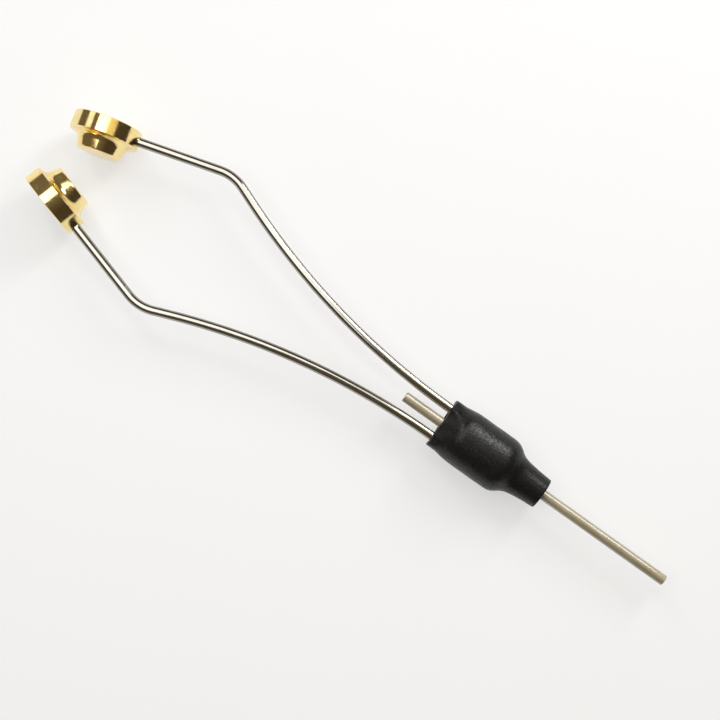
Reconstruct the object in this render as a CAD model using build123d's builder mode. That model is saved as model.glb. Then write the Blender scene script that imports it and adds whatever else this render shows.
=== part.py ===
# Bobbin holder for fly tying: a thread tube and two sprung wire arms set in one core,
# a shrunk sleeve over the core, and a turned brass foot on each arm to grip a thread spool.
# Millimetres. +X runs to the tip of the thread tube, +Y to the left arm and +Z up.
# The bench that the feet stand on is at z = 0.

import os
from math import cos, radians, sin

from build123d import *

# Spring wire arms
WIRE_DIAMETER = 1.5
ARM_SPACING = 5.0  # between the centres of the two wires in the core
ROOT_DEPTH = 5.0  # wire held inside the core
BOW_RADIUS = 117.7  # outward sweep behind the sleeve
BOW_ANGLE = 21.4
ARM_RUN = 2.7  # straight between the bow and the knee
KNEE_RADIUS = 6.8
TOE_ANGLE = 16.1  # lean of the shank towards the tube's axis
SHANK_LENGTH = 13.2  # straight from the knee to the rim of the foot

# Thread tube
TUBE_DIAMETER = 1.65
TUBE_BORE = 1.19
TUBE_STUB = 6.8  # tube behind the sleeve
TUBE_NOSE = 22.2  # tube ahead of the sleeve
TUBE_END_CHAMFER = 0.08

# Core
CORE_LENGTH = 8.4
CORE_WALL = 0.4  # metal left outside each wire
CORE_CHAMFER = 0.25  # round its back, under the flats of the sleeve

# Shrunk sleeve
SLEEVE_WALL = 0.7
MOUTH_LENGTH = 3.2  # behind the core
PINCH_LENGTH = 2.9  # from the mouth to where its flats run out
SHOULDER_LENGTH = 1.9
SHOULDER_RADIUS = 2.0  # outside the bend over the front of the core
NECK_LENGTH = 5.0
NECK_BORE = 3.4  # at the open front end
NECK_TAPER = 0.5  # gain in radius from the front end back to the shoulder
NECK_BLEND_RADIUS = 3.2  # outside the bend from the shoulder to the neck

# Feet
FLANGE_DIAMETER = 10.8
FLANGE_THICKNESS = 2.7
RIM_LAND = 0.25  # flat between the rim and the cove
COVE_REACH = 1.05  # from either end of the cove to the corner that it rounds
KNOB_HEIGHT = 2.45
KNOB_ANGLE = 16.0  # slope of the spool cone to its own axis
KNOB_CHAMFER = 0.25
SOCKET_DEPTH = 3.4  # wire held inside the foot

# Clearances, each on the radius
FIT_GAP = 0.03  # round the wires, the tube and the core where they are bonded
MOUTH_GAP = 0.05  # between the tube and the sleeve's mouth

# Sizes that follow
WIRE_OFFSET = ARM_SPACING / 2
CORE_RADIUS = WIRE_OFFSET + WIRE_DIAMETER / 2 + FIT_GAP + CORE_WALL
SLEEVE_BORE_RADIUS = CORE_RADIUS + FIT_GAP
MOUTH_HALF_HEIGHT = max(TUBE_DIAMETER, WIRE_DIAMETER) / 2 + MOUTH_GAP
CORE_FRONT = MOUTH_LENGTH + CORE_LENGTH
NECK_START = CORE_FRONT + SHOULDER_LENGTH
SLEEVE_LENGTH = NECK_START + NECK_LENGTH
TUBE_LENGTH = TUBE_STUB + SLEEVE_LENGTH + TUBE_NOSE
FLANGE_RADIUS = FLANGE_DIAMETER / 2
AXIS_HEIGHT = FLANGE_RADIUS

# Centre of a foot, behind the sleeve's mouth and out from the tube's axis
BOW = radians(BOW_ANGLE)
TOE = radians(TOE_ANGLE)
SHANK_TO_CENTRE = SHANK_LENGTH + FLANGE_RADIUS
BOW_BACK = BOW_RADIUS * sin(BOW) + ARM_RUN * cos(BOW)
BOW_OUT = BOW_RADIUS * (1 - cos(BOW)) + ARM_RUN * sin(BOW)
KNEE_BACK = KNEE_RADIUS * (sin(BOW) + sin(TOE))
KNEE_OUT = KNEE_RADIUS * (cos(TOE) - cos(BOW))
FOOT_BACK = BOW_BACK + KNEE_BACK + SHANK_TO_CENTRE * cos(TOE)
FOOT_OUT = WIRE_OFFSET + BOW_OUT + KNEE_OUT - SHANK_TO_CENTRE * sin(TOE)

# The sleeve's mouth stands where it puts the origin under the middle of the holder's length
REAR_REACH = FOOT_BACK + FLANGE_RADIUS * cos(TOE) + FLANGE_THICKNESS / 2 * sin(TOE)
FRONT_REACH = SLEEVE_LENGTH + TUBE_NOSE
MOUTH_X = (REAR_REACH - FRONT_REACH) / 2

TOOL_AXIS = Axis((MOUTH_X, 0, AXIS_HEIGHT), (1, 0, 0))
SIDE_PLANE = Plane((MOUTH_X, 0, AXIS_HEIGHT), x_dir=(1, 0, 0), z_dir=(0, -1, 0))


def station(distance):
    """Plane across the tube's axis, that far ahead of the sleeve's mouth, with +Y right and +Z up."""
    return Plane((MOUTH_X + distance, 0, AXIS_HEIGHT), x_dir=(0, 1, 0), z_dir=(1, 0, 0))


def sleeve_form(wall, shoulder_radius, blend_radius):
    """Solid inside the sleeve, grown by a wall: turned round the tube's axis, then pinched flat at the mouth."""
    radius = SLEEVE_BORE_RADIUS + wall
    mouth_height = MOUTH_HALF_HEIGHT + wall
    slope = (radius - mouth_height) / PINCH_LENGTH
    front_height = mouth_height + slope * SLEEVE_LENGTH
    with BuildPart() as form:
        with BuildSketch(SIDE_PLANE):
            with BuildLine():
                front = FilletPolyline(
                    (MOUTH_LENGTH, radius),
                    (CORE_FRONT, radius),
                    (NECK_START, NECK_BORE / 2 + NECK_TAPER + wall),
                    (SLEEVE_LENGTH, NECK_BORE / 2 + wall),
                    radius=[shoulder_radius, blend_radius],
                )
                Polyline(front @ 1, (SLEEVE_LENGTH, 0), (0, 0), (0, WIRE_OFFSET + mouth_height), front @ 0)
            make_face()
        revolve(axis=TOOL_AXIS)
        with BuildSketch(SIDE_PLANE):
            with BuildLine():
                Polyline(
                    (0, mouth_height),
                    (SLEEVE_LENGTH, front_height),
                    (SLEEVE_LENGTH, -front_height),
                    (0, -mouth_height),
                    close=True,
                )
            make_face()
        extrude(amount=2 * radius, both=True, mode=Mode.INTERSECT)
    return form.part


# Thread tube, its bore broken at both ends so that it can't cut the thread
with BuildPart() as thread_tube:
    with BuildSketch(station(-TUBE_STUB)):
        Circle(TUBE_DIAMETER / 2)
        Circle(TUBE_BORE / 2, mode=Mode.SUBTRACT)
    extrude(amount=TUBE_LENGTH)
    bore_edges = thread_tube.edges().filter_by(GeomType.CIRCLE).group_by(SortBy.RADIUS)[0]
    chamfer(bore_edges, length=TUBE_END_CHAMFER)

# Core, drilled through for the tube and blind for the two wires
with BuildPart() as core_block:
    with BuildSketch(station(MOUTH_LENGTH)):
        Circle(CORE_RADIUS)
    extrude(amount=CORE_LENGTH)
    back_edge = core_block.edges().filter_by(GeomType.CIRCLE).sort_by(TOOL_AXIS).first
    chamfer(back_edge, length=CORE_CHAMFER)
    with BuildSketch(station(MOUTH_LENGTH)):
        Circle(TUBE_DIAMETER / 2 + FIT_GAP)
    extrude(amount=CORE_LENGTH, mode=Mode.SUBTRACT)
    with BuildSketch(station(MOUTH_LENGTH)):
        with Locations((WIRE_OFFSET, 0), (-WIRE_OFFSET, 0)):
            Circle(WIRE_DIAMETER / 2 + FIT_GAP)
    extrude(amount=ROOT_DEPTH, mode=Mode.SUBTRACT)

# Sleeve: round over the core, drawn in to an open neck ahead of it and pinched flat
# over the wires behind it
with BuildPart() as shrink_sleeve:
    add(sleeve_form(SLEEVE_WALL, SHOULDER_RADIUS, NECK_BLEND_RADIUS))
    add(sleeve_form(0, 0, 0), mode=Mode.SUBTRACT)

# Left arm: one wire, straight in the core, bowed out, then turned in at the knee
with BuildPart() as left_arm:
    with BuildLine():
        root = Line(
            (MOUTH_X + MOUTH_LENGTH + ROOT_DEPTH, WIRE_OFFSET, AXIS_HEIGHT),
            (MOUTH_X, WIRE_OFFSET, AXIS_HEIGHT),
        )
        bow = JernArc(root @ 1, root % 1, BOW_RADIUS, -BOW_ANGLE)
        run = Line(bow @ 1, bow @ 1 + (bow % 1) * ARM_RUN)
        knee = JernArc(run @ 1, run % 1, KNEE_RADIUS, BOW_ANGLE + TOE_ANGLE)
        Line(knee @ 1, knee @ 1 + (knee % 1) * (SHANK_LENGTH + SOCKET_DEPTH))
    with BuildSketch(Plane(root @ 0, z_dir=root % 0)):
        Circle(WIRE_DIAMETER / 2)
    sweep()

# Left foot: a turned flange and spool cone, across the end of the wire, cone inwards
FOOT_PLANE = Plane(
    (MOUTH_X - FOOT_BACK, FOOT_OUT, AXIS_HEIGHT),
    x_dir=(sin(TOE), -cos(TOE), 0),
    z_dir=(-cos(TOE), -sin(TOE), 0),
)
FOOT_AXIS = Axis(FOOT_PLANE.origin, FOOT_PLANE.x_dir)
OUTER_FACE = -FLANGE_THICKNESS / 2
INNER_FACE = FLANGE_THICKNESS / 2
KNOB_END = INNER_FACE + KNOB_HEIGHT
with BuildPart() as left_foot:
    with BuildSketch(FOOT_PLANE):
        with BuildLine():
            rim = Polyline(
                (OUTER_FACE, 0),
                (OUTER_FACE, FLANGE_RADIUS),
                (INNER_FACE, FLANGE_RADIUS),
                (INNER_FACE, FLANGE_RADIUS - RIM_LAND),
            )
            corner = rim @ 1 - (0, COVE_REACH)
            cone_line = Vector(1, 0).rotate(Axis.Z, -KNOB_ANGLE)
            cove = Bezier(rim @ 1, corner, corner + cone_line * COVE_REACH)
            cone_end = corner + cone_line * (KNOB_HEIGHT / cone_line.X)
            Polyline(cove @ 1, cone_end, (KNOB_END, 0), rim @ 0)
        make_face()
    revolve(axis=FOOT_AXIS)
    knob_edge = left_foot.edges().filter_by(GeomType.CIRCLE).sort_by(FOOT_AXIS)[-1]
    chamfer(knob_edge, length=KNOB_CHAMFER)
    with BuildSketch(FOOT_PLANE.offset(-FLANGE_RADIUS)):
        Circle(WIRE_DIAMETER / 2 + FIT_GAP)
    extrude(amount=SOCKET_DEPTH, mode=Mode.SUBTRACT)

# The right arm and foot mirror the left ones
with BuildPart() as right_arm:
    mirror(left_arm.part, about=Plane.XZ)
with BuildPart() as right_foot:
    mirror(left_foot.part, about=Plane.XZ)

PIECES = {
    "thread_tube": thread_tube,
    "core_block": core_block,
    "shrink_sleeve": shrink_sleeve,
    "left_arm": left_arm,
    "right_arm": right_arm,
    "left_foot": left_foot,
    "right_foot": right_foot,
}
os.makedirs("parts", exist_ok=True)
for name, piece in PIECES.items():
    piece.part.label = name
    export_step(piece.part, f"parts/{name}.step")

print(f"sleeve mouth at x = {MOUTH_X:.3f}, tube axis at z = {AXIS_HEIGHT:.3f}")
print(f"left foot centre at x = {MOUTH_X - FOOT_BACK:.3f}, y = {FOOT_OUT:.3f}")
print(f"tube length {TUBE_LENGTH:.3f}, overall length {REAR_REACH + FRONT_REACH:.3f}")
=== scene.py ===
"""Looks of the bobbin holder: fine meshes over its visible parts, finishes, a pale floor and light.

Lengths are in metres, written as millimetres times MM, except where a comment says millimetres.
+X runs to the tip of the thread tube, +Y to the left arm and +Z up.
"""

from math import cos, pi, radians, sin, tan

import bpy
import numpy as np
from mathutils import Matrix, Vector, noise


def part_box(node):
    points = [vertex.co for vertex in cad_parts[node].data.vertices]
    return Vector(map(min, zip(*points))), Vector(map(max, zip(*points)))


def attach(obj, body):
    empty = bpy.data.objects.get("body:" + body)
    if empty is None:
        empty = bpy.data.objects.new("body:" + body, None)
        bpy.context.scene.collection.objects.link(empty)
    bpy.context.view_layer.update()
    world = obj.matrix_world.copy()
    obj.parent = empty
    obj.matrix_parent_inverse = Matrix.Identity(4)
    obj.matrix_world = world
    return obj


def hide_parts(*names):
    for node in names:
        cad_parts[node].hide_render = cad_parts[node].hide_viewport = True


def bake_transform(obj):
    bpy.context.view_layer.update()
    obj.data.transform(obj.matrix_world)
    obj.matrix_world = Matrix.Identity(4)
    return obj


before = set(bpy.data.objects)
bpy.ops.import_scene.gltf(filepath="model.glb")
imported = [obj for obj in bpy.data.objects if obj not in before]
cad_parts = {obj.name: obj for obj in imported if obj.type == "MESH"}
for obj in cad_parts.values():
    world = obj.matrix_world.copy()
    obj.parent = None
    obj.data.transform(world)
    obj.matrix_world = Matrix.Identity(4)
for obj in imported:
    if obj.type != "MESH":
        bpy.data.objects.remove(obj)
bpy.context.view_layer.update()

MM = 0.001
UP = Vector((0, 0, 1))
SHARP_ANGLE = radians(35)

# The sleeve's mouth and the tool's axis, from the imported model
sleeve_low, sleeve_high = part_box("shrink_sleeve")
tube_low, tube_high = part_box("thread_tube")
MOUTH_X = sleeve_low.x
SLEEVE_LENGTH = sleeve_high.x - sleeve_low.x
TUBE_LENGTH = tube_high.x - tube_low.x
AXIS_Z = (tube_low.z + tube_high.z) / 2

# Wire arms: a straight root in the core, a bow, a short run, a knee and a shank that ends in a foot
WIRE_RADIUS = 0.75 * MM
WIRE_AROUND = 40
WIRE_OFFSET = 2.5 * MM
ROOT = 8.2 * MM
BOW_RADIUS = 117.7 * MM
BOW_ANGLE = radians(21.4)
BOW_STEPS = 150
ARM_RUN = 2.7 * MM
STRAIGHT_STEPS = 6
KNEE_RADIUS = 6.8 * MM
KNEE_STEPS = 48
TOE_ANGLE = radians(16.1)
SHANK = 13.2 * MM
SHANK_STEPS = 36

# Thread tube
TUBE_RADIUS = 0.825 * MM
TUBE_BORE_RADIUS = 0.595 * MM
TUBE_AROUND = 64
TUBE_END_RADIUS = 0.1 * MM
TUBE_END_STEPS = 5
TUBE_STRAIGHT_START = 1.5 * TUBE_END_RADIUS
TUBE_STRAIGHT_RINGS = 40

# Sleeve, in millimetres: half heights and half widths at distances from its mouth
FRONT = [
    (10.7, 4.41), (11.4, 4.3), (11.9, 4.1), (12.4, 3.76), (12.9, 3.37), (13.4, 3.1), (14.0, 2.93),
]
NECK = [(14.8, 2.79), (16.2, 2.62), (18.5, 2.42)]
OUTER_HEIGHT = [(0, 1.6), (2.9, 4.2), (3.8, 4.41)] + FRONT + NECK
OUTER_WIDTH = [(0, 4.06), (1.7, 4.06), (2.6, 4.23), (3.4, 4.36), (4.2, 4.41)] + FRONT + NECK
INNER_FRONT = [(3.2, 3.72), (11.6, 3.72), (13.5, 2.2), (18.5, 1.72)]
INNER_HEIGHT = [(0, 0.88), (2.9, 3.6)] + INNER_FRONT
INNER_WIDTH = [(0, 3.38)] + INNER_FRONT

# Millimetres over which the corners of those lines are rounded, and how finely that is worked out
SOFTEN_HEIGHT = 1.6
SOFTEN_WIDTH = 0.9
SOFTEN_INSIDE = 0.5
TABLE_MARGIN = 2
TABLE_POINTS = 2251

# Mesh of the sleeve, with lips in millimetres
LIP = 0.14
LIP_STEPS = 8
OUTSIDE_RINGS = 170
INSIDE_RINGS = 90
SLEEVE_AROUND = 240

# Pinched mouth, in millimetres: squarer, with hollows between tube and wires and a ragged edge
MOUTH_LENGTH = 3.2
MOUTH_SQUARING = 0.38
HUG_DEPTH = 0.14
HUG_PERIOD = 2.5
HUG_HALF_WIDTH = 3.1
HUG_FADE = 0.5
HUG_LOST_INSIDE = 0.6
RAGGED_LENGTH = 0.3
RAGGED_ROUND = 2.1
RAGGED_ALONG = 3.7

# Slight unevenness of the sleeve's skin: its share of the radius, and the scales of its noise
SWELL = 0.012
SWELL_ALONG = 0.45
SWELL_ROUND = 1.3

# Feet
FLANGE_RADIUS = 5.4 * MM
FLANGE_HALF = 1.35 * MM
FOOT_AROUND = 256
FACE_CENTRE_RADIUS = 0.2 * MM
RIM_CHAMFER = 0.1 * MM
RIM_LAND = 0.15 * MM
COVE_RADIUS = 1.4 * MM
COVE_STEPS = 14
KNOB_END = 3.8 * MM
KNOB_ANGLE = radians(16.0)
KNOB_EDGE_RADIUS = 0.3 * MM
KNOB_EDGE_STEPS = 8
SOCKET_DEPTH = 3.4 * MM
SOCKET_RADIUS = 0.78 * MM
SOCKET_AROUND = 64

# View from almost straight above, with the tool lying across the picture
VIEW_ROLL = radians(35.53)
VIEW_CENTRE = Vector((MOUTH_X - 15.51 * MM, 0.55 * MM, AXIS_Z))
VIEW_DISTANCE = 233.06 * MM
VIEW_TILT = radians(5.0)
VIEW_LENS = 77.0
SENSOR_WIDTH = 36
CLIP_START = 0.005
PICTURE_RIGHT = Vector((cos(VIEW_ROLL), sin(VIEW_ROLL), 0))
PICTURE_UP = Vector((-sin(VIEW_ROLL), cos(VIEW_ROLL), 0))


# Shapes


def skin(rings, loop=False):
    """Vertices, faces and UVs of a tube through rings; loop joins the last ring to the first."""
    rings = np.asarray(rings, float)
    count, around = rings.shape[:2]
    steps = np.linalg.norm(np.diff(rings, axis=0), axis=2).mean(axis=1)
    along = np.concatenate([[0], np.cumsum(steps)])
    faces = []
    uvs = []
    for i in range(count if loop else count - 1):
        k = (i + 1) % count
        end = along[k] if k else along[-1]
        for j in range(around):
            n = (j + 1) % around
            faces.append((i * around + j, i * around + n, k * around + n, k * around + j))
            left, right = j / around, (j + 1) / around
            uvs += [(left, along[i]), (right, along[i]), (right, end), (left, end)]
    if not loop:
        faces.append(tuple(reversed(range(around))))
        uvs += [(0, 0)] * around
        faces.append(tuple((count - 1) * around + j for j in range(around)))
        uvs += [(0, along[-1])] * around
    return rings.reshape(-1, 3), faces, uvs


def make_piece(name, shape, place=None):
    """Smooth mesh object from skin()'s result."""
    points, faces, uvs = shape
    mesh = bpy.data.meshes.new(name)
    mesh.from_pydata([tuple(p) for p in points], [], faces)
    layer = mesh.uv_layers.new(name="UVMap")
    layer.data.foreach_set("uv", np.asarray(uvs, np.float32).ravel())
    mesh.polygons.foreach_set("use_smooth", [True] * len(mesh.polygons))
    mesh.validate()
    mesh.set_sharp_from_angle(angle=SHARP_ANGLE)
    piece = bpy.data.objects.new(name, mesh)
    if place is not None:
        piece.matrix_world = place
    bpy.context.scene.collection.objects.link(piece)
    return piece


def lathe(profile, around):
    """Rings about the Z axis through points of (height, radius)."""
    angles = np.linspace(0, 2 * pi, around, endpoint=False)
    cosines, sines = np.cos(angles), np.sin(angles)
    return [np.column_stack([r * cosines, r * sines, np.full(around, z)]) for z, r in profile]


def arc(centre, radius, start, end, steps):
    """Points of an arc, between two angles in degrees."""
    turns = np.radians(np.linspace(start, end, steps + 1))
    return [(centre[0] + radius * cos(t), centre[1] + radius * sin(t)) for t in turns]


def arm_rings():
    """Rings of the left wire from its held end to its end in the foot, that end and its heading."""
    stretches = [  # length, turn and steps
        (ROOT, 0, STRAIGHT_STEPS),
        (BOW_RADIUS * BOW_ANGLE, -BOW_ANGLE, BOW_STEPS),
        (ARM_RUN, 0, STRAIGHT_STEPS),
        (KNEE_RADIUS * (BOW_ANGLE + TOE_ANGLE), BOW_ANGLE + TOE_ANGLE, KNEE_STEPS),
        (SHANK + SOCKET_DEPTH, 0, SHANK_STEPS),
    ]
    angles = np.linspace(0, 2 * pi, WIRE_AROUND, endpoint=False)
    spot = Vector((MOUTH_X + ROOT, WIRE_OFFSET, AXIS_Z))
    heading = pi
    rings = []

    def ring():
        side = Vector((-sin(heading), cos(heading), 0))
        rings.append([spot + WIRE_RADIUS * (cos(a) * side + sin(a) * UP) for a in angles])

    ring()
    for length, turn, steps in stretches:
        half = turn / steps / 2
        chord = length / steps * (sin(half) / half if half else 1)
        for _ in range(steps):
            heading += half
            spot = spot + chord * Vector((cos(heading), sin(heading), 0))
            heading += half
            ring()
    return rings, spot, heading


def mirrored(rings):
    """The same rings on the other side of the tool's axis."""
    return [[Vector((p.x, -p.y, p.z)) for p in reversed(ring)] for ring in rings]


def table(points, at, soften):
    """Values of a broken line at given distances, with its corners rounded over a short length."""
    fine = np.linspace(points[0][0] - TABLE_MARGIN, points[-1][0] + TABLE_MARGIN, TABLE_POINTS)
    line = np.interp(fine, *zip(*points))
    for end, sign in ((0, -1), (-1, 1)):
        inner = 1 if end == 0 else -2
        slope = (points[inner][1] - points[end][1]) / (points[inner][0] - points[end][0])
        beyond = sign * (fine - points[end][0]) > 0
        line[beyond] = points[end][1] + slope * (fine[beyond] - points[end][0])
    width = int(soften / (fine[1] - fine[0])) // 2 * 2 + 1
    kernel = np.hanning(width + 2)[1:-1]
    padded = np.pad(line, width // 2, mode="edge")
    return np.interp(at, fine, np.convolve(padded, kernel / kernel.sum(), mode="valid"))


def sleeve_rings():
    """Rings of the sleeve's wall: the outside, the front lip, the inside, then the mouth's lip."""
    length = SLEEVE_LENGTH / MM
    over = np.radians(np.linspace(0, 180, LIP_STEPS + 1)[1:-1])
    outside = [(s, 0.0) for s in np.linspace(LIP, length - LIP, OUTSIDE_RINGS)]
    front = [(length - LIP + LIP * sin(t), (1 - cos(t)) / 2) for t in over]
    inside = [(s, 1.0) for s in np.linspace(length - LIP, LIP, INSIDE_RINGS)]
    back = [(LIP - LIP * sin(t), (1 + cos(t)) / 2) for t in over]
    stations = np.array(outside + front + inside + back)
    at, depth = stations[:, 0], stations[:, 1]
    outer_height = table(OUTER_HEIGHT, at, SOFTEN_HEIGHT)
    outer_width = table(OUTER_WIDTH, at, SOFTEN_WIDTH)
    inner_height = table(INNER_HEIGHT, at, SOFTEN_INSIDE)
    inner_width = table(INNER_WIDTH, at, SOFTEN_INSIDE)
    half_height = outer_height + (inner_height - outer_height) * depth
    half_width = outer_width + (inner_width - outer_width) * depth
    pinch = np.clip(1 - at / MOUTH_LENGTH, 0, 1)
    pinch = pinch * pinch * (3 - 2 * pinch)
    angles = np.linspace(0, 2 * pi, SLEEVE_AROUND, endpoint=False)
    across, upward = np.cos(angles), np.sin(angles)
    rings = []
    for i in range(len(at)):
        power = 1 - MOUTH_SQUARING * pinch[i]
        y = half_width[i] * np.sign(across) * np.abs(across) ** power
        z = half_height[i] * np.sign(upward) * np.abs(upward) ** power
        wave = np.cos(2 * pi * y / HUG_PERIOD) * (np.abs(y) < HUG_HALF_WIDTH)
        hug = HUG_DEPTH * pinch[i] ** 2 * wave
        near_flat = np.minimum(1, np.abs(z) / HUG_FADE)
        z = z + np.sign(z) * hug * near_flat * (1 - HUG_LOST_INSIDE * depth[i])
        x = np.full(SLEEVE_AROUND, at[i])
        for j in range(SLEEVE_AROUND):
            c, s = cos(angles[j]), sin(angles[j])
            spot = Vector((at[i] * SWELL_ALONG, SWELL_ROUND * c, SWELL_ROUND * s))
            swell = 1 + SWELL * noise.noise(spot) * (1 - depth[i])
            y[j] *= swell
            z[j] *= swell
            ragged = noise.noise(Vector((RAGGED_ALONG, RAGGED_ROUND * c, RAGGED_ROUND * s)))
            x[j] += RAGGED_LENGTH * ragged * pinch[i] ** 3
        rings.append(np.column_stack([MOUTH_X + x * MM, y * MM, AXIS_Z + z * MM]))
    return rings


def foot_profile():
    """Half section of a turned foot: flange, chamfered rim, cove and spool cone."""
    cove_top = FLANGE_RADIUS - RIM_CHAMFER - RIM_LAND
    cove_centre = (FLANGE_HALF + COVE_RADIUS, cove_top)
    cove = arc(cove_centre, COVE_RADIUS, 180, 270 - np.degrees(KNOB_ANGLE), COVE_STEPS)
    cone_height, cone_radius = cove[-1]
    end_radius = cone_radius - (KNOB_END - cone_height) * tan(KNOB_ANGLE)
    back = KNOB_EDGE_RADIUS * tan((pi / 2 - KNOB_ANGLE) / 2)
    edge_centre = (KNOB_END - KNOB_EDGE_RADIUS, end_radius - back)
    edge = arc(edge_centre, KNOB_EDGE_RADIUS, 90 - np.degrees(KNOB_ANGLE), 0, KNOB_EDGE_STEPS)
    rim = [
        (-FLANGE_HALF, FACE_CENTRE_RADIUS),
        (-FLANGE_HALF, FLANGE_RADIUS - RIM_CHAMFER),
        (-FLANGE_HALF + RIM_CHAMFER, FLANGE_RADIUS),
        (FLANGE_HALF - RIM_CHAMFER, FLANGE_RADIUS),
        (FLANGE_HALF, FLANGE_RADIUS - RIM_CHAMFER),
    ]
    return rim + cove + edge + [(KNOB_END, FACE_CENTRE_RADIUS)]


def cut_socket(foot):
    """Cuts the wire's blind hole into the rim, along the foot's own X axis."""
    bpy.ops.mesh.primitive_cylinder_add(
        vertices=SOCKET_AROUND, radius=SOCKET_RADIUS, depth=2 * SOCKET_DEPTH
    )
    drill = bpy.context.object
    at_rim = foot.matrix_world @ Matrix.Translation((FLANGE_RADIUS, 0, 0))
    drill.matrix_world = at_rim @ Matrix.Rotation(pi / 2, 4, "Y")
    cut = foot.modifiers.new("socket", "BOOLEAN")
    cut.operation = "DIFFERENCE"
    cut.object = drill
    bpy.context.view_layer.update()
    evaluated = foot.evaluated_get(bpy.context.evaluated_depsgraph_get())
    finished = bpy.data.meshes.new_from_object(evaluated)
    foot.modifiers.clear()
    foot.data = finished
    finished.set_sharp_from_angle(angle=SHARP_ANGLE)
    bpy.data.objects.remove(drill)


def tube_profile():
    """Closed section of the tube's wall along its axis, with rounded ends.

    Rings along the straight part keep the rounded ends from tilting its shading.
    """
    r = TUBE_END_RADIUS
    high = TUBE_LENGTH
    outer, inner = TUBE_RADIUS - r, TUBE_BORE_RADIUS + r
    straight = np.linspace(TUBE_STRAIGHT_START, high - TUBE_STRAIGHT_START, TUBE_STRAIGHT_RINGS)
    return (
        arc((r, outer), r, 180, 90, TUBE_END_STEPS)
        + [(x, TUBE_RADIUS) for x in straight]
        + arc((high - r, outer), r, 90, 0, TUBE_END_STEPS)
        + arc((high - r, inner), r, 0, -90, TUBE_END_STEPS)
        + [(x, TUBE_BORE_RADIUS) for x in reversed(straight)]
        + arc((r, inner), r, 270, 180, TUBE_END_STEPS)
    )


# Finishes

# Sockets of the mix node that hold colours; it has others of the same names
MIX_FIRST, MIX_SECOND, MIX_RESULT = 6, 7, 2

# Drawn metal, on UVs: turns round the piece and metres along it
DRAWN_LINES = (90, 220, 0)
DRAWN_PATCHES = (2.2, 260, 0)
DRAWN_NICKS = (14, 700, 0)
DRAWN_DULLING = (0.35, 0.7)
DRAWN_WEAR = (0.5, 1.0)
DRAWN_RELIEF = 0.05

# Turned metal, on the piece's own metres
TURNED_RINGS = (6000, 6000, 0)
TURNED_PATCHES = (420, 420, 420)
TURNED_SPECKS = (2600, 2600, 2600)
TURNED_DULLING = (0.42, 0.72)
TURNED_WEAR = (0.14, 0.4)
METAL_RELIEF_DEPTH = 0.00001

# Clear shine over the satin tube
COAT_ROUGHNESS = 0.06
COAT_IOR = 1.9

# Shrunk tubing, on the piece's own metres
PLASTIC_FINE = (3000, 3000, 3000)
PLASTIC_COARSE = (900, 1300, 1300)
PLASTIC_BLACK = (0.006, 0.006, 0.006)
PLASTIC_GREY = (0.014, 0.014, 0.014)
PLASTIC_WEAR = (0.32, 0.68)
PLASTIC_ROUGHNESS = (0.25, 0.46)
PLASTIC_SPECULAR = 0.29
PLASTIC_RELIEF = 0.7
PLASTIC_RELIEF_DEPTH = 0.00005

# Floor
FLOOR_MOTTLE = (60, 60, 60)
FLOOR_PALE = (0.93, 0.93, 0.93)
FLOOR_PALER = (0.95, 0.95, 0.945)
FLOOR_LIFT = 0.57


def add(tree, kind, inputs, **settings):
    """New node, with settings; an input is a value or another node's output."""
    made = tree.nodes.new(kind)
    for key, value in settings.items():
        setattr(made, key, value)
    for key, value in inputs.items():
        if isinstance(value, bpy.types.NodeSocket):
            tree.links.new(value, made.inputs[key])
        else:
            made.inputs[key].default_value = value
    return made


def maths(tree, operation, *values, **settings):
    """Result of an operation on values or on other nodes' outputs."""
    inputs = dict(enumerate(values))
    return add(tree, "ShaderNodeMath", inputs, operation=operation, **settings).outputs[0]


def new_material(name):
    """Material, its node tree and its shader."""
    material = bpy.data.materials.new(name)
    material.use_nodes = True
    return material, material.node_tree, material.node_tree.nodes["Principled BSDF"]


def grain(tree, vector, stretch, detail=4.0):
    """Noise of 0 to 1 on a stretched vector."""
    scaled = add(tree, "ShaderNodeVectorMath", {0: vector, 1: stretch}, operation="MULTIPLY")
    inputs = {"Vector": scaled.outputs[0], "Scale": 1.0, "Detail": detail}
    return add(tree, "ShaderNodeTexNoise", inputs).outputs["Fac"]


def ranged(tree, value, low, high, to_low, to_high):
    """A value moved from one range to another."""
    inputs = {
        "Value": value, "From Min": low, "From Max": high, "To Min": to_low, "To Max": to_high,
    }
    return add(tree, "ShaderNodeMapRange", inputs).outputs["Result"]


def tinted(tree, factor, first, second):
    """Colour between two, by a factor."""
    mixed = add(tree, "ShaderNodeMix", {"Factor": factor}, data_type="RGBA")
    mixed.inputs[MIX_FIRST].default_value = (*first, 1)
    mixed.inputs[MIX_SECOND].default_value = (*second, 1)
    return mixed.outputs[MIX_RESULT]


def relief(tree, shader, height, strength, depth):
    """Bump from a height, given to the shader."""
    inputs = {"Height": height, "Strength": strength, "Distance": depth}
    bump = add(tree, "ShaderNodeBump", inputs)
    tree.links.new(bump.outputs["Normal"], shader.inputs["Normal"])


def paint(tree, shader, colour, roughness):
    """Gives the shader its colour and roughness."""
    tree.links.new(colour, shader.inputs["Base Color"])
    tree.links.new(roughness, shader.inputs["Roughness"])


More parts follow.
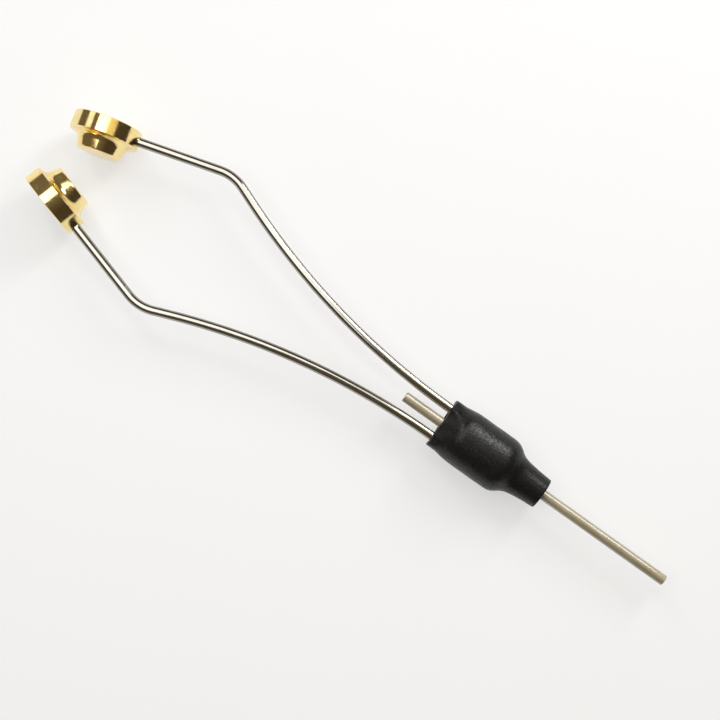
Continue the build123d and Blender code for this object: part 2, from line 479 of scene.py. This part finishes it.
def drawn_metal(name, bright, dull, smooth, rough):
    """Drawn metal: fine lines along the length, with duller patches and nicks."""
    material, tree, shader = new_material(name)
    uv = add(tree, "ShaderNodeTexCoord", {}).outputs["UV"]
    lines = grain(tree, uv, DRAWN_LINES)
    patches = grain(tree, uv, DRAWN_PATCHES, detail=3.0)
    nicks = grain(tree, uv, DRAWN_NICKS, detail=2.0)
    colour = tinted(tree, ranged(tree, patches, *DRAWN_DULLING, 0, 1), bright, dull)
    worn = maths(tree, "MULTIPLY_ADD", lines, nicks, lines)
    paint(tree, shader, colour, ranged(tree, worn, *DRAWN_WEAR, smooth, rough))
    shader.inputs["Metallic"].default_value = 1.0
    relief(tree, shader, lines, DRAWN_RELIEF, METAL_RELIEF_DEPTH)
    return material


def turned_metal(name, bright, dull, smooth, rough, marks):
    """Turned metal: fine rings about the piece's own Z axis, with a little tarnish."""
    material, tree, shader = new_material(name)
    place = add(tree, "ShaderNodeTexCoord", {}).outputs["Object"]
    x, y, z = add(tree, "ShaderNodeSeparateXYZ", {"Vector": place}).outputs
    flat = add(tree, "ShaderNodeCombineXYZ", {"X": x, "Y": y}).outputs[0]
    radius = add(tree, "ShaderNodeVectorMath", {0: flat}, operation="LENGTH").outputs["Value"]
    section = add(tree, "ShaderNodeCombineXYZ", {"X": radius, "Y": z}).outputs[0]
    rings = grain(tree, section, TURNED_RINGS, detail=3.0)
    patches = grain(tree, place, TURNED_PATCHES)
    specks = grain(tree, place, TURNED_SPECKS, detail=2.0)
    colour = tinted(tree, ranged(tree, patches, *TURNED_DULLING, 0, 1), bright, dull)
    worn = maths(tree, "MULTIPLY", patches, specks)
    paint(tree, shader, colour, ranged(tree, worn, *TURNED_WEAR, smooth, rough))
    shader.inputs["Metallic"].default_value = 1.0
    relief(tree, shader, rings, marks, METAL_RELIEF_DEPTH)
    return material


def shrunk_plastic(name):
    """Black shrunk tubing: satin, with a fine uneven grain."""
    material, tree, shader = new_material(name)
    place = add(tree, "ShaderNodeTexCoord", {}).outputs["Object"]
    fine = grain(tree, place, PLASTIC_FINE, detail=2.0)
    coarse = grain(tree, place, PLASTIC_COARSE)
    colour = tinted(tree, coarse, PLASTIC_BLACK, PLASTIC_GREY)
    paint(tree, shader, colour, ranged(tree, fine, *PLASTIC_WEAR, *PLASTIC_ROUGHNESS))
    shader.inputs["Specular IOR Level"].default_value = PLASTIC_SPECULAR
    height = maths(tree, "ADD", fine, coarse)
    relief(tree, shader, height, PLASTIC_RELIEF, PLASTIC_RELIEF_DEPTH)
    return material


def pale_floor(name):
    """White floor that keeps shadows, lifted towards plain white where it is seen or mirrored."""
    material, tree, shader = new_material(name)
    tree.nodes.remove(shader)
    place = add(tree, "ShaderNodeTexCoord", {}).outputs["Object"]
    pale = tinted(tree, grain(tree, place, FLOOR_MOTTLE, detail=3.0), FLOOR_PALE, FLOOR_PALER)
    lit = add(tree, "ShaderNodeBsdfDiffuse", {"Color": pale}).outputs[0]
    white = add(tree, "ShaderNodeEmission", {"Color": (1, 1, 1, 1), "Strength": 1.0}).outputs[0]
    path = add(tree, "ShaderNodeLightPath", {}).outputs
    seen = maths(tree, "ADD", path["Is Camera Ray"], path["Is Glossy Ray"])
    seen = maths(tree, "ADD", seen, path["Is Transmission Ray"], use_clamp=True)
    lift = maths(tree, "MULTIPLY", seen, FLOOR_LIFT)
    mixed = add(tree, "ShaderNodeMixShader", {0: lift, 1: lit, 2: white}).outputs[0]
    tree.links.new(mixed, tree.nodes["Material Output"].inputs["Surface"])
    return material


# Pieces

steel = drawn_metal(
    "wire_steel", bright=(0.43, 0.415, 0.375), dull=(0.35, 0.335, 0.29), smooth=0.06, rough=0.14
)
stainless = drawn_metal(
    "tube_stainless", bright=(0.59, 0.54, 0.41), dull=(0.52, 0.465, 0.33), smooth=0.72, rough=0.85
)
brass = turned_metal(
    "polished_brass", bright=(0.97, 0.79, 0.38), dull=(0.9, 0.66, 0.25),
    smooth=0.08, rough=0.2, marks=0.1,
)
dull_brass = turned_metal(
    "core_brass", bright=(0.7, 0.53, 0.24), dull=(0.55, 0.4, 0.17),
    smooth=0.25, rough=0.45, marks=0.3,
)
plastic = shrunk_plastic("shrink_black")
gloss = stainless.node_tree.nodes["Principled BSDF"]
gloss.inputs["Coat Weight"].default_value = 1.0
gloss.inputs["Coat Roughness"].default_value = COAT_ROUGHNESS
gloss.inputs["Coat IOR"].default_value = COAT_IOR

left_rings, wire_end, wire_heading = arm_rings()
for side, rings in (("left", left_rings), ("right", mirrored(left_rings))):
    arm = make_piece(f"{side}_wire", skin(rings))
    arm.data.materials.append(steel)
    turn = 1 if side == "left" else -1
    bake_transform(arm)
    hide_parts(f"{side}_arm")

    # The foot's own X axis points back along the wire, and its Z axis towards the other foot
    along = Vector((cos(wire_heading), turn * sin(wire_heading), 0))
    end = Vector((wire_end.x, turn * wire_end.y, wire_end.z))
    inward = Vector((-along.y, along.x, 0)) * turn
    place = Matrix((-along, inward.cross(-along), inward)).transposed().to_4x4()
    place.translation = end + (FLANGE_RADIUS - SOCKET_DEPTH) * along
    foot = make_piece(f"{side}_brass_foot", skin(lathe(foot_profile(), FOOT_AROUND)), place)
    cut_socket(foot)
    foot.data.materials.append(brass)
    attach(foot, f"{side}_side")
    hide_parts(f"{side}_foot")

along_x = Matrix.Translation((tube_low.x, 0, AXIS_Z)) @ Matrix.Rotation(pi / 2, 4, "Y")
tube = make_piece("thread_pipe", skin(lathe(tube_profile(), TUBE_AROUND), loop=True), along_x)
tube.data.materials.append(stainless)
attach(tube, "handle")
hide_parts("thread_tube")

sleeve = make_piece("shrunk_sleeve", skin(sleeve_rings(), loop=True))
sleeve.data.materials.append(plastic)
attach(sleeve, "handle")
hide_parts("shrink_sleeve")

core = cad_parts["core_block"]
core.data.materials.clear()
core.data.materials.append(dull_brass)

# Floor: it slopes a little, so that both the feet and the sleeve rest on it, a hair's breadth above
FLOOR_SIZE = 6
FLOOR_GAP = 0.02 * MM
FOOT_X = -51.42 * MM
SLEEVE_X = 26.0 * MM
SLEEVE_LOW = AXIS_Z - 4.41 * MM
slope = SLEEVE_LOW / (SLEEVE_X - FOOT_X)
bpy.ops.mesh.primitive_plane_add(size=FLOOR_SIZE)
floor = bpy.context.object
floor.name = "floor"
floor.rotation_euler = (0, -slope, 0)
floor.location = (0, 0, -slope * FOOT_X - FLOOR_GAP)
floor.data.materials.append(pale_floor("floor_white"))


# Light

FACING_DOWN = (0, 0, 0)
AMBER = (1, 0.86, 0.45)


def softbox(name, centre, turn, width, height, radiance, tint=(1, 1, 1)):
    """Area lamp with a centre and a rotation, as bright as its radiance."""
    lamp = bpy.data.lights.new(name, "AREA")
    lamp.shape = "RECTANGLE"
    lamp.size = width
    lamp.size_y = height
    lamp.energy = radiance * pi * width * height
    lamp.color = tint
    lit = bpy.data.objects.new(name, lamp)
    lit.location = centre
    lit.rotation_euler = turn
    bpy.context.scene.collection.objects.link(lit)


def panel(name, x, azimuth, tilt, distance, width, height, radiance):
    """Softbox that faces a point of the tool's axis.

    It hangs at an azimuth about Z and a tilt from overhead, in degrees. Its height runs up the
    tilt and its width across it.
    """
    level = Vector((cos(radians(azimuth)), sin(radians(azimuth)), 0))
    towards = sin(radians(tilt)) * level + cos(radians(tilt)) * UP
    centre = Vector((x, 0, AXIS_Z)) + distance * towards
    softbox(name, centre, (0, radians(tilt), radians(azimuth)), height, width, radiance)


softbox("ceiling", (-0.1085, 0.035, 0.3), FACING_DOWN, width=0.149, height=0.37, radiance=2.5)
softbox("bridge", (-0.0145, 0.155, 0.3), FACING_DOWN, width=0.039, height=0.21, radiance=1.7)
softbox(
    "far_ceiling", (0.0885, 0.095, 0.302), FACING_DOWN,
    width=0.177, height=0.09, radiance=0.85, tint=AMBER,
)
panel(
    "side_high", x=9 * MM, azimuth=90, tilt=49, distance=0.35,
    width=0.038, height=0.214, radiance=5.0,
)
panel(
    "side_middle", x=39 * MM, azimuth=90, tilt=56, distance=0.35,
    width=0.022, height=0.19, radiance=26.0,
)
panel(
    "side_low", x=85 * MM, azimuth=90, tilt=53.5, distance=0.35,
    width=0.07, height=0.168, radiance=5.5,
)
panel(
    "fill", x=-20 * MM, azimuth=152, tilt=55, distance=0.4,
    width=0.066, height=0.25, radiance=6.5,
)
panel(
    "low_patch", x=FOOT_X, azimuth=187, tilt=49, distance=0.35,
    width=0.075, height=0.123, radiance=1.1,
)

# World: dim and warm, and dimmer ahead of the tip
ROOM_TINT = (1, 0.81, 0.6, 1)
ROOM_LEVEL = 0.145
ROOM_LEVEL_AHEAD = 0.06
ROOM_FADE = (0.2, 0.7)
world = bpy.data.worlds.new("studio")
bpy.context.scene.world = world
world.use_nodes = True
tree = world.node_tree
tree.nodes.clear()
towards = add(tree, "ShaderNodeTexCoord", {}).outputs["Generated"]
ahead = add(tree, "ShaderNodeVectorMath", {0: towards, 1: (1, 0, 0)}, operation="DOT_PRODUCT")
room = ranged(tree, ahead.outputs["Value"], *ROOM_FADE, ROOM_LEVEL, ROOM_LEVEL_AHEAD)
studio = add(tree, "ShaderNodeBackground", {"Color": ROOM_TINT, "Strength": room})
add(tree, "ShaderNodeOutputWorld", {"Surface": studio.outputs[0]})

# Camera
lens = bpy.data.cameras.new("camera")
lens.lens = VIEW_LENS
lens.sensor_width = SENSOR_WIDTH
lens.clip_start = CLIP_START
camera = bpy.data.objects.new("camera", lens)
back = cos(VIEW_TILT) * UP - sin(VIEW_TILT) * PICTURE_UP
view = Matrix((PICTURE_RIGHT, back.cross(PICTURE_RIGHT), back)).transposed().to_4x4()
view.translation = VIEW_CENTRE + VIEW_DISTANCE * back
camera.matrix_world = view
bpy.context.scene.collection.objects.link(camera)
bpy.context.scene.camera = camera
bpy.context.scene.view_settings.view_transform = "Standard"
